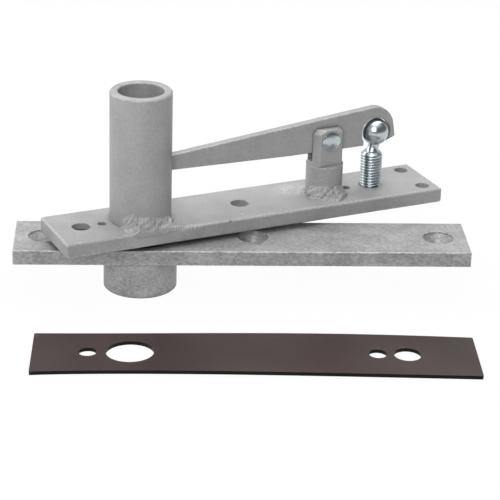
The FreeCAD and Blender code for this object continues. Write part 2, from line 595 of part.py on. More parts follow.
# Door plate: a steel bar, countersunk from above, that is screwed down into the door's top
door_plate = door_body("door_plate")
bar = new_sketch(door_plate, "door_bar_outline", "XY_Plane", DOOR_UNDER)
rectangle(bar, "-sizes.door_left", "sizes.door_right", f"-{HALF_WIDTH}", HALF_WIDTH)
door_bar = pad(door_plate, "door_bar", bar, "sizes.plate_thick")
dress(door_plate, "Chamfer", "door_bar_edges", door_bar, outer_edges(door_bar), "sizes.door_edge")
seat = new_sketch(door_plate, "door_bushing_hole_outline", "XY_Plane", DOOR_UNDER)
circle(seat, "0", "0", "sizes.bushing_dia / 2")
pocket(door_plate, "door_bushing_hole", seat)
BELOW_DOOR = f"{DOOR_UNDER} - sizes.door_edge"
ABOVE_DOOR = f"{DOOR_TOP} + sizes.door_edge"
SINK_TOP = f"{DOOR_TOP} - sizes.door_sink_land"
SINK_FOOT = f"{SINK_TOP} - {sink_depth('sizes.door_sink_dia', 'sizes.door_hole_dia')}"
for name, x in (
    ("left_door_hole", "-sizes.door_hole_left"),
    ("middle_door_hole", "sizes.door_hole_middle"),
    ("right_door_hole", "sizes.door_hole_right"),
):
    drilled(door_plate, name, x, "0", [
        ("0", BELOW_DOOR),
        ("sizes.door_hole_dia / 2", BELOW_DOOR),
        ("sizes.door_hole_dia / 2", SINK_FOOT),
        ("sizes.door_sink_dia / 2", SINK_TOP),
        ("sizes.door_sink_dia / 2", ABOVE_DOOR),
        ("0", ABOVE_DOOR),
    ], BELOW_DOOR, ABOVE_DOOR)

# Pivot cup: a turned cup, welded under the door plate from inside its bushing hole
pivot_cup = door_body("pivot_cup")
turned(pivot_cup, "cup_turning", [
    ("0", "0"),
    ("sizes.cup_dia / 2 - sizes.cup_edge", "0"),
    ("sizes.cup_dia / 2", "sizes.cup_edge"),
    ("sizes.cup_dia / 2", DOOR_UNDER),
    ("sizes.bushing_dia / 2", DOOR_UNDER),
    ("sizes.bushing_dia / 2", CUP_FLOOR),
    ("0", CUP_FLOOR),
])

# Pivot bushing: pressed through the door plate into the cup, flush with the plate's top
pivot_bushing = door_body("pivot_bushing")
BORE_R = STUB_HOLE
OUTER_R = "sizes.bushing_dia / 2"
turned(pivot_bushing, "bushing_turning", [
    (BORE_R, CUP_FLOOR),
    (OUTER_R, CUP_FLOOR),
    (OUTER_R, DOOR_TOP),
    (f"{BORE_R} + sizes.bushing_edge", DOOR_TOP),
    (BORE_R, f"{DOOR_TOP} - sizes.bushing_edge"),
])

# Cover plate: thin sheet that hides the frame plate, here taken off and lying level with the cup's foot
cover_plate = new_body("cover_plate", "sizes.cover_x")
cover_plate.setExpression("Placement.Base.y", "sizes.cover_y")
cover_plate.setExpression("Placement.Rotation.Angle", "-sizes.cover_angle")
sheet = new_sketch(cover_plate, "cover_outline", "XY_Plane")
COVER_HALF = "sizes.cover_width / 2"
rectangle(sheet, "-sizes.cover_left", "sizes.cover_right", f"-{COVER_HALF}", COVER_HALF)
blank = pad(cover_plate, "cover_sheet", sheet, "sizes.cover_thick")
UPRIGHT = FreeCAD.Vector(0, 0, 1)
corners = edges_where(blank, lambda edge: runs_along(UPRIGHT, edge))
dress(cover_plate, "Fillet", "cover_corners", blank, corners, "sizes.cover_corner")
punched = new_sketch(cover_plate, "cover_holes_outline", "XY_Plane")
circle(punched, "0", "0", "sizes.cover_pivot_dia / 2")
circle(punched, "-sizes.cover_hole_left", "0", "sizes.cover_screw_dia / 2")
circle(punched, "sizes.cover_hole_right", "0", "sizes.cover_screw_dia / 2")
circle(punched, BALL_X, "0", "sizes.cover_access_dia / 2")
pocket(cover_plate, "cover_holes", punched)

# Check every object, then write one file for each piece
doc.recompute()
for item in doc.Objects:
    if "Invalid" in item.State or "Error" in item.State:
        raise RuntimeError(f"{item.Label}: {item.State}")
os.makedirs("parts", exist_ok=True)
for body in pieces:
    if body.Shape.isNull() or not body.Shape.isValid():
        raise RuntimeError(f"{body.Label}: no valid shape")
for body in pieces:
    body.Shape.exportStep(os.path.join("parts", f"{body.Label}.step"))
    box = body.Shape.BoundBox
    print(
        f"{body.Label}: {len(body.Shape.Solids)} solid, {body.Shape.Volume:.0f} mm3,"
        f" x {box.XMin:.2f} to {box.XMax:.2f}, y {box.YMin:.2f} to {box.YMax:.2f},"
        f" z {box.ZMin:.2f} to {box.ZMax:.2f}"
    )
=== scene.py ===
# Frame plate. A hot-rolled steel bar, drilled and countersunk, with rounded edges. The whole frame half was
# welded up first and then sprayed with one coat of satin grey lacquer, so plate, tube, post, welds and lever
# share that finish.
import math
import bmesh
import bpy
import numpy as np
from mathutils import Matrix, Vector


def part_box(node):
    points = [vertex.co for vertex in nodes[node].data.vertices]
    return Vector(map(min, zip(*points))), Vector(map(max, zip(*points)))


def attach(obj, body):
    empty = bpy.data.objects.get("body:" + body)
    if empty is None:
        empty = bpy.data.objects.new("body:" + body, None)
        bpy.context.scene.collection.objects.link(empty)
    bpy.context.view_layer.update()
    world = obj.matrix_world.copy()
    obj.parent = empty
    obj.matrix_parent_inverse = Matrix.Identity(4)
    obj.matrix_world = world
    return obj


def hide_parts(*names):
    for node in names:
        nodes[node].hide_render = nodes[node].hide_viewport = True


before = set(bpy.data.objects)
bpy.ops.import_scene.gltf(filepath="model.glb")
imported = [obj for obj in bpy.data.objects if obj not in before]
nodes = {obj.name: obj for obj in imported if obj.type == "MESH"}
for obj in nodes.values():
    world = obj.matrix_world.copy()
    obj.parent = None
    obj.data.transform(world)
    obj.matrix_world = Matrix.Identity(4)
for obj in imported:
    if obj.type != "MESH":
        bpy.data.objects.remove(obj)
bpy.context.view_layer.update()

MM = 0.001
PLATE_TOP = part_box("frame_plate")[1].z
PLATE_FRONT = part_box("frame_plate")[0].y


def linear(code):
    """A hex sRGB colour as linear RGBA: each channel goes through the sRGB curve backwards."""
    channels = [int(code[i:i + 2], 16) / 255 for i in (1, 3, 5)]
    return [c / 12.92 if c <= 0.04045 else ((c + 0.055) / 1.055) ** 2.4 for c in channels] + [1.0]


def add(tree, kind, settings=(), links=()):
    """Adds one node. A setting is a property of the node or the value of an input. A link feeds an input from
    an output, or from the first output of a node."""
    node = tree.nodes.new(kind)
    for key, setting in dict(settings).items():
        if isinstance(key, str) and hasattr(node, key):
            setattr(node, key, setting)
        else:
            node.inputs[key].default_value = setting
    for key, source in dict(links).items():
        tree.links.new(source.outputs[0] if isinstance(source, bpy.types.Node) else source, node.inputs[key])
    return node


def new_finish(name):
    """A material and its node tree, with nothing in it yet."""
    material = bpy.data.materials.new(name)
    material.use_nodes = True
    material.node_tree.nodes.clear()
    return material, material.node_tree


def dress(node_name, material):
    """Gives a CAD node its finish."""
    nodes[node_name].data.materials.clear()
    nodes[node_name].data.materials.append(material)


def corners(tree, reach):
    """A mask of closed corners, used to paint shade there, by occlusion within a reach in metres, and how
    open each place is.
    """
    is_open = add(tree, "ShaderNodeAmbientOcclusion", {"samples": 6, "Distance": reach}).outputs["AO"]
    return add(tree, "ShaderNodeMapRange", {"From Min": 0.85, "From Max": 0.25}, {"Value": is_open}), is_open


def edges(tree, bevel, is_open):
    """A normal rounded over the edges, and a mask of the convex ones for wear and painted highlight: there
    the normal leans far from the true one, and the place is open."""
    rounded = add(tree, "ShaderNodeBevel", {"samples": 4, "Radius": bevel})
    true_normal = add(tree, "ShaderNodeNewGeometry").outputs["True Normal"]
    same = add(tree, "ShaderNodeVectorMath", {"operation": "DOT_PRODUCT"}, {0: rounded, 1: true_normal})
    leaning = add(tree, "ShaderNodeMapRange", {"From Min": 0.99, "From Max": 0.88},
                  {"Value": same.outputs["Value"]})
    in_open = add(tree, "ShaderNodeMapRange", {"From Min": 0.55, "From Max": 0.8}, {"Value": is_open})
    return rounded, add(tree, "ShaderNodeMath", {"operation": "MULTIPLY"}, {0: leaning, 1: in_open})


def tint(tree, colour, mask, code, strength):
    """Lays one more colour over another where a mask is 1, as far as the strength lets it."""
    amount = add(tree, "ShaderNodeMath", {"operation": "MULTIPLY", 1: strength}, {0: mask})
    laid = add(tree, "ShaderNodeMix", {"data_type": "RGBA", 7: linear(code)}, {0: amount, 6: colour})
    return laid.outputs[2]


def mark(tree, colour, place, centre, radius, code, strength, broken):
    """Tints a small blemish, its centre and radius in mm.

    It fades out from a third of its radius, and a mask breaks it up.
    """
    centre = [along * MM for along in centre]
    far = add(tree, "ShaderNodeVectorMath", {"operation": "DISTANCE", 1: centre}, {0: place}).outputs["Value"]
    fading = {"From Min": radius * MM, "From Max": 0.33 * radius * MM}
    near = add(tree, "ShaderNodeMapRange", fading, {"Value": far})
    patches = add(tree, "ShaderNodeMath", {"operation": "MULTIPLY"}, {0: near, 1: broken})
    return tint(tree, colour, patches, code, strength)


# Satin lacquer: even grey, slightly cloudy where the coat is thicker, with a fine orange peel and soft gloss;
# its edges are pale, partly rubbed and partly a painted highlight, and its corners darkened by painted shade
lacquer, tree = new_finish("satin_grey_lacquer")
place = add(tree, "ShaderNodeTexCoord").outputs["Object"]
COAT_CLOUD, COAT_GRAIN, ORANGE_PEEL = 14 * MM, 1.1 * MM, 0.6 * MM
COAT_EDGE, COAT_CORNER = 0.7 * MM, 3 * MM
cloud = add(tree, "ShaderNodeTexNoise", {"Scale": 1 / COAT_CLOUD, "Detail": 3.0}, {"Vector": place})
grain = add(tree, "ShaderNodeTexNoise", {"Scale": 1 / COAT_GRAIN, "Detail": 4.0}, {"Vector": place})
both = add(tree, "ShaderNodeMix", {0: 0.45}, {2: cloud, 3: grain})
tone = add(tree, "ShaderNodeMapRange", {"From Min": 0.38, "From Max": 0.62}, {"Value": both})
paint = add(tree, "ShaderNodeMix", {"data_type": "RGBA", 6: linear("#979797"), 7: linear("#a5a5a5")},
            {0: tone}).outputs[2]
closed, is_open = corners(tree, COAT_CORNER)
rounded, worn = edges(tree, COAT_EDGE, is_open)
patchy = add(tree, "ShaderNodeMapRange", {"From Min": 0.40, "From Max": 0.58}, {"Value": grain})
rubbed = add(tree, "ShaderNodeMath", {"operation": "MULTIPLY"}, {0: worn, 1: patchy})
# Painted highlight, with some real wear: the convex edges are tinted pale
colour = tint(tree, paint, rubbed, "#dadada", 0.7)
# Painted shade: a dark tint in the closed corners and between parts, found by occlusion
colour = tint(tree, colour, closed, "#3c3b3a", 0.5)
# A scuff beside the post, a fleck of bare metal between the screw holes, and a nick in the front edge
colour = mark(tree, colour, place, (73.0, 6.5, 30.0), 9.5, "#d0d0d0", 0.5, patchy)
colour = mark(tree, colour, place, (41.4, -11.4, 30.0), 0.8, "#f4f4f4", 0.9, grain)
colour = mark(tree, colour, place, (33.9, -15.9, 29.6), 1.0, "#3a3a3a", 1.0, grain)
gloss = add(tree, "ShaderNodeMapRange", {"To Min": 0.42, "To Max": 0.54}, {"Value": cloud})
peel = add(tree, "ShaderNodeTexNoise", {"Scale": 1 / ORANGE_PEEL, "Detail": 2.0}, {"Vector": place})
relief = add(tree, "ShaderNodeBump", {"Strength": 0.4, "Distance": 0.05 * MM},
             {"Height": peel, "Normal": rounded})
shader = add(tree, "ShaderNodeBsdfPrincipled", {"Metallic": 0.15},
             {"Base Color": colour, "Roughness": gloss, "Normal": relief})
add(tree, "ShaderNodeOutputMaterial", links={"Surface": shader})
dress("frame_plate", lacquer)

# Pivot housing. A drawn steel tube, faced and chamfered at the top, with the lever's slot milled in its
# right side. It stands on the plate and is lacquered with it.
dress("pivot_housing", lacquer)

# Housing weld. Short fillet passes laid by hand round the tube's foot: at the left one on top of another, at
# the right a pool that runs over the plate's front edge. Each froze in ripples and lumps, under the lacquer.
tube_low, tube_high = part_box("pivot_housing")
HOUSING_RADIUS = (tube_high.x - tube_low.x) / 2
# One row for a place along a pass: azimuth in degrees, the bead's height up the wall, and its foot's distance
# from the axis, in millimetres
HOUSING_PASSES = {
    "left_upper": [(206, 0.3, 13.1), (210, 3.0, 14.0), (216, 4.7, 14.9), (224, 5.7, 15.4), (232, 6.2, 15.6),
                   (242, 5.9, 15.9), (252, 5.8, 16.0), (262, 5.4, 15.8), (273, 4.7, 14.8), (283, 0.4, 13.2)],
    "left_lower": [(213, 0.3, 13.2), (219, 1.8, 16.2), (228, 2.8, 17.6), (240, 3.2, 18.3), (250, 3.1, 18.7),
                   (258, 2.8, 18.0), (266, 2.0, 16.8), (270, 0.3, 13.3)],
    "right_upper": [(250, 0.3, 13.2), (256, 3.7, 15.2), (263, 5.4, 15.8), (272, 5.1, 15.8), (284, 4.6, 16.0),
                    (297, 4.2, 16.4), (310, 3.7, 16.2), (320, 2.8, 15.4), (331, 0.2, 13.2)],
    "right_pool": [(256, 0.3, 14.0), (262, 1.6, 17.4), (272, 2.4, 17.9), (285, 2.3, 18.2), (297, 2.2, 18.9),
                   (307, 1.9, 19.9), (317, 1.3, 19.8), (325, 0.4, 16.5)],
    "back": [(66, 0.3, 13.2), (70, 3.6, 15.4), (82, 4.6, 16.2), (96, 4.7, 16.1), (109, 3.6, 15.4),
             (113, 0.3, 13.2)],
}
# Grid: points across a bead, step along it, the sharp edges' angle, and how deep the back is sunk
PROFILE_POINTS, STEP, FACET, SUNK = 44, 0.14, 24, 0.35
# Section: the powers of its two legs, and the leg at which a bead carries its full relief
OUT_POWER, UP_POWER, FULL_LEG = 0.8, 1.05, 1.8
# Relief: size and height of ripples, folds and crumbs, how far folds are drawn out and lean, and how low they
# are in the short beads behind tube and post
RIPPLE_PITCH, RIPPLE_DEPTH, RIPPLE_LEAN = 1.3, 0.10, 1.2
FOLD_SIZE, FOLD_HEIGHT, CALM_FOLD, STRETCH, LEAN = 1.9, 1.35, 0.45, 0.45, 0.6
CRUMB_SIZE, CRUMB_HEIGHT, CRUMB_SEED = 0.7, 0.25, 100
# Outline: its raggedness as a share of leg and height, and the samples over which the table is eased
RAGGED, RAGGED_SEED, EASED_OVER = 0.12, 500, 7
# Plate's front edge: where the sag starts before it, how far it runs out past it, and how fast it drops
SAG_START, SAG_OUT, SAG_DOWN = 0.5, 0.9, 0.7
# How many lumps fall on a square of their own size
LUMPS_PER_PATCH = 2.2


def placed(mesh, name, material, body, smooth):
    """The object of a piece's mesh: smooth below an angle in degrees, with its finish, riding its body."""
    mesh.shade_smooth()
    mesh.set_sharp_from_angle(angle=math.radians(smooth))
    mesh.materials.clear()
    mesh.materials.append(material)
    piece = bpy.data.objects.new(name, mesh)
    bpy.context.scene.collection.objects.link(piece)
    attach(piece, body)
    return piece


def loft(name, rings, material, body, smooth=40):
    """A closed mesh through rings of points, an array of rings, points and coordinates in metres.

    Each ring is joined to the next with quads, and the first and last ring get one flat cap each.
    """
    count, around = rings.shape[:2]
    index = np.arange(count * around).reshape(count, around)
    step = np.roll(index, -1, axis=1)
    quads = np.stack([index[:-1], step[:-1], step[1:], index[1:]], -1).reshape(-1, 4)
    mesh = bpy.data.meshes.new(name)
    faces = quads.tolist() + [index[0][::-1].tolist(), index[-1].tolist()]
    mesh.from_pydata(rings.reshape(-1, 3).tolist(), [], faces)
    return placed(mesh, name, material, body, smooth)


def lumps(u, v, seed, size):
    """Angular relief from 0 to 1: the highest of many square pyramids at random places, turns and slopes."""
    draw = np.random.default_rng(seed)
    span = u.max() - u.min(), v.max() - v.min()
    top = np.zeros(np.broadcast(u, v).shape)
    for _ in range(int(LUMPS_PER_PATCH * span[0] * span[1] / size**2)):
        du = u - u.min() - draw.uniform(0, span[0])
        dv = v - v.min() - draw.uniform(0, span[1])
        angle = draw.uniform(0, np.pi)
        along = np.abs(du * np.cos(angle) + dv * np.sin(angle))
        aside = np.abs(dv * np.cos(angle) - du * np.sin(angle))
        far = np.maximum(along * draw.uniform(0.5, 1.0), aside) / size
        top = np.maximum(top, draw.uniform(0.4, 1.0) - far * draw.uniform(0.6, 1.2))
    return top


def bead(table, radius, centre, seed, fold=FOLD_HEIGHT):
    """The rings of a fillet bead round a vertical wall, whose height and foot follow a table over azimuth.

    A section runs from the wall, the bead's height up, along a nearly flat fillet to the foot, and back
    inside wall and plate. At t from 0 to 1 it is out by the foot times t^OUT_POWER and up by the height times
    (1 - t)^UP_POWER. Ripples lean across the bead, large angular folds and small crumbs make it uneven, and
    its outline is ragged. Where it passes the plate's front edge it sags over the edge.
    """
    azimuth, rise, foot = np.array(table, float).T
    length = np.radians(azimuth[-1] - azimuth[0]) * radius
    fine = np.linspace(azimuth[0], azimuth[-1], int(length / STEP))
    knots = np.linspace(fine[0], fine[-1], max(4, int(length / FOLD_SIZE)))
    ragged = np.random.default_rng(seed + RAGGED_SEED).uniform(-RAGGED, RAGGED, (2, len(knots)))
    foot = radius + (foot - radius) * (1 + np.interp(azimuth, knots, ragged[0]))
    ease = np.ones(EASED_OVER) / EASED_OVER
    rise, foot = (
        np.convolve(np.pad(np.interp(fine, azimuth, row), EASED_OVER // 2, "edge"), ease, "valid")
        for row in (rise, foot)
    )
    rise = rise * (1 + np.interp(fine, knots, ragged[1]))

    across = np.linspace(0, 1, PROFILE_POINTS)[None]
    angle = across * np.pi / 2
    leg, rise = (foot - radius)[:, None], rise[:, None]
    along = np.radians(fine)[:, None] * (radius + 0.5 * leg)
    down = np.hypot(leg, rise).mean() * across
    ripple = np.abs(np.sin(np.pi * (along / RIPPLE_PITCH + RIPPLE_LEAN * across * (1 - across))))
    folds = fold * (lumps(STRETCH * along, down + LEAN * along, seed, FOLD_SIZE) - 0.5)
    crumbs = CRUMB_HEIGHT * (lumps(along, down, seed + CRUMB_SEED, CRUMB_SIZE) - 0.5)
    # The relief fades out at the bead's ends and along its two edges
    ends = np.clip(np.minimum(leg, rise) / FULL_LEG, 0, 1)
    whole = ends * np.sin(np.pi * np.clip(across, 0.02, 0.98)) ** 0.35
    swell = whole * (folds + crumbs - RIPPLE_DEPTH * ripple)
    out = leg * across**OUT_POWER + swell * np.sin(angle)
    up = rise * (1 - across) ** UP_POWER + swell * np.cos(angle)
    back = 0 * rise - SUNK
    out = np.concatenate([out[:, :1] - SUNK, out, out[:, -1:], back], 1)
    up = np.concatenate([up[:, :1], up, back, back], 1)

    heading = np.radians(fine)[:, None]
    x, y = (radius + out) * np.cos(heading), (radius + out) * np.sin(heading)
    over = np.clip(PLATE_FRONT / MM + SAG_START - y, 0, None)
    y, up = y + over - SAG_OUT * (1 - np.exp(-over)), up - SAG_DOWN * over
    return np.stack([x, y, up], -1)[:, ::-1] * MM + np.array([centre, 0, PLATE_TOP])


# The lacquer over the welds: the same coat, with a painted highlight making the crests pale, and painted
# shade darkening the folds between passes
over_weld, tree = new_finish("satin_lacquer_over_weld")
place = add(tree, "ShaderNodeTexCoord").outputs["Object"]
FLECK, WELD_CORNER = 0.8 * MM, 1.6 * MM
fleck = add(tree, "ShaderNodeTexNoise", {"Scale": 1 / FLECK, "Detail": 4.0, "Roughness": 0.65},
            {"Vector": place})
tone = add(tree, "ShaderNodeMapRange", {"From Min": 0.36, "From Max": 0.62}, {"Value": fleck})
paint = add(tree, "ShaderNodeMix", {"data_type": "RGBA", 6: linear("#8a8a8a"), 7: linear("#a0a0a0")},
            {0: tone}).outputs[2]
pointed = add(tree, "ShaderNodeNewGeometry").outputs["Pointiness"]
crest = add(tree, "ShaderNodeMapRange", {"From Min": 0.53, "From Max": 0.62}, {"Value": pointed})
# Painted highlight: the crests are tinted pale
colour = tint(tree, paint, crest, "#d2d2d2", 0.5)
# Painted shade: the folds between passes are tinted dark, by occlusion
colour = tint(tree, colour, corners(tree, WELD_CORNER)[0], "#2a2928", 0.85)
relief = add(tree, "ShaderNodeBump", {"Strength": 0.5, "Distance": 0.08 * MM}, {"Height": fleck})
shader = add(tree, "ShaderNodeBsdfPrincipled", {"Metallic": 0.15, "Roughness": 0.46},
             {"Base Color": colour, "Normal": relief})
add(tree, "ShaderNodeOutputMaterial", links={"Surface": shader})

for seed, (where, table) in enumerate(HOUSING_PASSES.items(), start=3):
    rings = bead(table, HOUSING_RADIUS / MM, 0, seed, CALM_FOLD if where == "back" else FOLD_HEIGHT)
    piece = loft(f"housing_weld_{where}", rings, over_weld, "frame_half", smooth=FACET)
    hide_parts("housing_weld")

# Vice marks. The jaws left a row of fine ridges on the plate's front edge, right of the weld. One strip of
# metal lies in that edge, and only its ridges stand out of it; they lean and fade out to the right.
# Their height is a sine over the length x; its phase wanders, and grows along the path across the edge.
MARKS_FROM, MARKS_TO, FADE_IN, FADE_OUT = -1.0, 26.0, 3.0, 9.0
MARK_PITCH, MARK_HEIGHT, MARK_LEAN, MARK_LEVEL, STRIP_DEPTH = 0.95, 0.4, 0.9, 0.4, 0.7
MARKS_ALONG, MARKS_ACROSS = 560, 30
# Two sines by which a ridge strays to the side: size in mm, rate and shift
WANDER = (0.25, 0.9, 0.0), (0.15, 2.3, 1.0)
# Across the edge: how far along the path, how far behind the front face, below the top, and the way it faces
EDGE_PATH = np.array([
    (0.0, 2.0, 0.0, 0.0), (0.45, 0.7, 0.0, 0.0), (0.55, 0.3, 0.2, 0.5), (0.65, 0.0, 0.6, 1.0),
    (1.0, 0.0, 1.9, 1.0),
])
x = np.linspace(MARKS_FROM, MARKS_TO, MARKS_ALONG)[:, None]
path = np.linspace(0, 1, MARKS_ACROSS)[None]
behind, below, facing = (np.interp(path, EDGE_PATH[:, 0], EDGE_PATH[:, k]) for k in (1, 2, 3))
fade = np.clip((x - MARKS_FROM) / FADE_IN, 0, 1) * np.clip((MARKS_TO - x) / FADE_OUT, 0, 1)
wander = sum(size * np.sin(rate * x + shift) for size, rate, shift in WANDER)
phase = (x + wander) / MARK_PITCH + MARK_LEAN * path
ridge = np.sin(2 * np.pi * phase) * fade * np.sin(np.pi * path) ** 0.5
lift = MARK_HEIGHT * (ridge - MARK_LEVEL)
y = PLATE_FRONT / MM + behind - lift * np.sin(facing * np.pi / 2)
z = PLATE_TOP / MM - below + lift * np.cos(facing * np.pi / 2)
inside = 0 * x + STRIP_DEPTH
y = np.concatenate([y, y[:, -1:] + inside, y[:, :1]], 1)
z = np.concatenate([z, z[:, -1:], z[:, :1] - inside], 1)
rings = np.stack([x + 0 * y, y, z], -1)[:, ::-1] * MM
# Scraped steel: the ridges came up through the lacquer, bare, and their pale tint is partly a painted
# highlight
scraped, tree = new_finish("scraped_steel_with_painted_highlight")
bare = {"Base Color": linear("#c6c6c6"), "Metallic": 0.3, "Roughness": 0.4}
add(tree, "ShaderNodeOutputMaterial", links={"Surface": add(tree, "ShaderNodeBsdfPrincipled", bare)})
piece = loft("vice_marks", rings, scraped, "frame_half")

# Lever post. A turned stud with two milled flats and a slot for the lever. Its round foot stands on the
# plate, and it is lacquered with it.
dress("lever_post", lacquer)

# Post weld. Three short passes at the post's front, the right one a round lump, and a low one behind it. They
# are laid like the housing's, on a smaller wall.
post_low, post_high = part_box("lever_post")
POST_CENTRE, POST_RADIUS = (post_low.x + post_high.x) / 2, (post_high.x - post_low.x) / 2
POST_PASSES = {
    "left_upper": [(184, 0.3, 8.2), (189, 3.4, 9.4), (200, 4.2, 10.3), (219, 5.0, 10.2), (240, 4.8, 10.0),
                   (256, 4.7, 10.4), (270, 4.6, 10.4), (284, 4.3, 10.2), (296, 0.3, 8.2)],
    "left_lower": [(200, 0.3, 8.3), (210, 1.8, 10.6), (228, 2.6, 11.2), (246, 3.0, 12.4), (260, 3.2, 13.8),
                   (274, 3.0, 13.9), (283, 2.0, 12.0), (290, 0.3, 8.4)],
    "right": [(264, 0.3, 8.2), (269, 3.7, 11.4), (277, 5.4, 13.2), (290, 5.3, 12.8), (305, 4.6, 11.6),
              (318, 3.7, 10.6), (330, 2.4, 9.6), (338, 0.3, 8.2)],
    "back": [(66, 0.3, 8.2), (72, 3.5, 10.4), (84, 4.8, 11.3), (98, 4.7, 11.2), (108, 3.1, 10.0),
             (114, 0.3, 8.2)],
}
for seed, (where, table) in enumerate(POST_PASSES.items(), start=41):
    rings = bead(table, POST_RADIUS / MM, POST_CENTRE, seed, CALM_FOLD if where == "back" else FOLD_HEIGHT)
    piece = loft(f"post_weld_{where}", rings, over_weld, "frame_half", smooth=FACET)
    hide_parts("post_weld")

# Fulcrum pin. A turned steel pin with a low domed head, bright zinc plated, put in from the front through
# post and lever, with a groove behind the post for its ring.
# Bright zinc: a glossy blue-white metal, a little uneven, with painted shade in the thread's roots and where
# it sits close to another part
zinc, tree = new_finish("bright_zinc_plate")
place = add(tree, "ShaderNodeTexCoord").outputs["Object"]
CLOUDY, SPECKLE, ZINC_CORNER = 3 * MM, 0.35 * MM, 1.2 * MM
cloud = add(tree, "ShaderNodeTexNoise", {"Scale": 1 / CLOUDY, "Detail": 3.0}, {"Vector": place})
speck = add(tree, "ShaderNodeTexNoise", {"Scale": 1 / SPECKLE, "Detail": 2.0}, {"Vector": place})
metal = add(tree, "ShaderNodeMix", {"data_type": "RGBA", 6: linear("#aab4b8"), 7: linear("#c8d0d2")},
            {0: cloud}).outputs[2]
# Painted shade: a dark tint where another surface is close, by occlusion
colour = tint(tree, metal, corners(tree, ZINC_CORNER)[0], "#22282a", 0.25)
gloss = add(tree, "ShaderNodeMapRange", {"To Min": 0.16, "To Max": 0.30}, {"Value": cloud})
relief = add(tree, "ShaderNodeBump", {"Strength": 0.12, "Distance": 0.02 * MM}, {"Height": speck})
shader = add(tree, "ShaderNodeBsdfPrincipled", {"Metallic": 1.0},
             {"Base Color": colour, "Roughness": gloss, "Normal": relief})
add(tree, "ShaderNodeOutputMaterial", links={"Surface": shader})


def spun(profile, centre, around=96):
    """The rings of a turned piece: each place and radius of its profile is carried once round the Y axis."""
    place_on, radius = (np.array(row)[:, None] for row in zip(*profile))
    turn = np.linspace(0, 2 * np.pi, around, endpoint=False)[None]
    rings = np.stack([radius * np.sin(turn), place_on + 0 * turn, radius * np.cos(turn)], -1)
    return (rings + np.array(centre)) * MM


# Its front face at a share s of its radius lies back by DOME_RISE s^DOME_POWER + RIM_RISE s^RIM_POWER: a low
# dome with a small rounded edge. An undercut behind the rim leaves a dark line on the post.
pin_low, pin_high = (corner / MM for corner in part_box("fulcrum_pin"))
PIN_HEAD = (pin_high.x - pin_low.x) / 2
HEAD_THICK, PIN_SHANK, UNDERCUT, UNDERCUT_RISE = 1.1, 3.175, 0.45, 0.22
DOME_RISE, DOME_POWER, RIM_RISE, RIM_POWER, DOME_POINTS = 0.68, 1.6, 0.16, 10, 90
GROOVE_RADIUS, GROOVE_WIDTH, TAIL, TAIL_CUT, NEAR_AXIS = 2.6, 1.0, 1.1, 0.5, 0.02
from_axis = np.linspace(NEAR_AXIS, PIN_HEAD, DOME_POINTS)
share = from_axis / PIN_HEAD
dome = pin_low.y + DOME_RISE * share**DOME_POWER + RIM_RISE * share**RIM_POWER
head_back, groove_end = pin_low.y + HEAD_THICK, pin_high.y - TAIL
profile = list(zip(dome, from_axis)) + [
    (head_back - UNDERCUT_RISE, PIN_HEAD), (head_back - UNDERCUT_RISE, PIN_HEAD - UNDERCUT),
    (head_back, PIN_HEAD - UNDERCUT), (head_back, PIN_SHANK), (groove_end - GROOVE_WIDTH, PIN_SHANK),
    (groove_end - GROOVE_WIDTH, GROOVE_RADIUS), (groove_end, GROOVE_RADIUS), (groove_end, PIN_SHANK),
    (pin_high.y - TAIL_CUT, PIN_SHANK), (pin_high.y, PIN_SHANK - TAIL_CUT), (pin_high.y, NEAR_AXIS),
]
middle = ((pin_low.x + pin_high.x) / 2, 0, (pin_low.z + pin_high.z) / 2)
piece = loft("domed_fulcrum_pin", spun(profile, middle), zinc, "frame_half", smooth=25)
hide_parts("fulcrum_pin")

# Fulcrum ring. A stamped spring clip, zinc plated like the pin. It is snapped into the pin's groove behind
# the post and holds the pin there.
dress("fulcrum_ring", zinc)

# Lever. Flat bar, sawn and filed to a long taper, with the ball's socket drilled and opened at its right end.
# It is lacquered like the rest and its tip sits in the pin's pocket. The socket's wall closes in over the
# ball: each point of it moves towards the socket's centre by CLOSE_IN times cos^4 of its angle from CLOSE_AT.
SOCKET_RADIUS, SOCKET_LEFT, SOCKET_RISE, BALL_RADIUS = 6.85, 0.35, 0.45, 5.85
CLOSE_IN, CLOSE_AT, CLOSE_POWER, ON_WALL, WELD_TOGETHER = 0.75, math.radians(66), 4, 0.05, 0.001 * MM


def merged(name):
    """A CAD node's mesh as an edit mesh of its own, with the corners that share a place made one."""
    edit = bmesh.new()
    edit.from_mesh(nodes[name].data)
    bmesh.ops.remove_doubles(edit, verts=edit.verts, dist=WELD_TOGETHER)
    return edit


def reshaped(edit, name, move, material, body, smooth):
    """A new piece from an edit mesh. move takes all its corners, in metres, and returns them moved."""
    mesh = bpy.data.meshes.new(name)
    edit.to_mesh(mesh)
    edit.free()
    places = np.empty(3 * len(mesh.vertices))
    mesh.vertices.foreach_get("co", places)
    mesh.vertices.foreach_set("co", move(places.reshape(-1, 3)).ravel())
    return placed(mesh, name, material, body, smooth)


def close_socket(places):
    """Moves the socket wall's corners inwards where it passes over the ball."""
    low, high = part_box("adjusting_screw")
    socket_x = (low.x + high.x) / 2 / MM - SOCKET_LEFT
    socket_z = high.z / MM - BALL_RADIUS + SOCKET_RISE
    from_socket = places[:, ::2] / MM - (socket_x, socket_z)
    away = np.hypot(*from_socket.T)
    angle = np.arctan2(from_socket[:, 1], from_socket[:, 0])
    on_wall = np.abs(away - SOCKET_RADIUS) < ON_WALL
    inwards = on_wall * CLOSE_IN * np.clip(np.cos(angle - CLOSE_AT), 0, 1) ** CLOSE_POWER
    places[:, ::2] -= from_socket * (inwards / away)[:, None] * MM
    return places


piece = reshaped(merged("lever"), "closed_lever", close_socket, lacquer, "lever", smooth=12)
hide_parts("lever")

